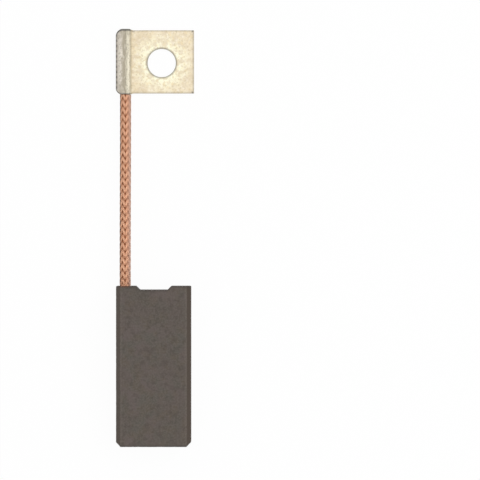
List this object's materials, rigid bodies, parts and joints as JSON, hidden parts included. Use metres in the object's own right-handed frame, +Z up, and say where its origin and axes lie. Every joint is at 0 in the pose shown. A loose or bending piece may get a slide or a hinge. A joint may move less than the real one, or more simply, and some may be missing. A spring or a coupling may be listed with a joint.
{
  "type": "carbon brush",
  "caption": "Rectangular carbon brush with a sloped spring seat, a braided copper pigtail and a crimped flag terminal with a screw hole.",
  "frame": {"origin": "middle of the carbon block's lower wide face, where the brush lies on its side", "axes": "+X across the brush's width, +Y from the contact face to the spring end, the pigtail and the terminal, +Z up through the brush's thickness"},
  "size_m": [0.0131, 0.0698, 0.0063],
  "materials": {
    "carbon_graphite": "satin, fine-grained pressed carbon-graphite",
    "bare_copper_braid": "bare copper wires, slightly dulled",
    "tinned_brass": "satin tin over brass strip, warm and faintly mottled"
  },
  "bodies": {
    "root": {"carbon_block": "carbon_graphite", "pigtail": "bare_copper_braid", "terminal": "tinned_brass"}
  },
  "joints": []
}
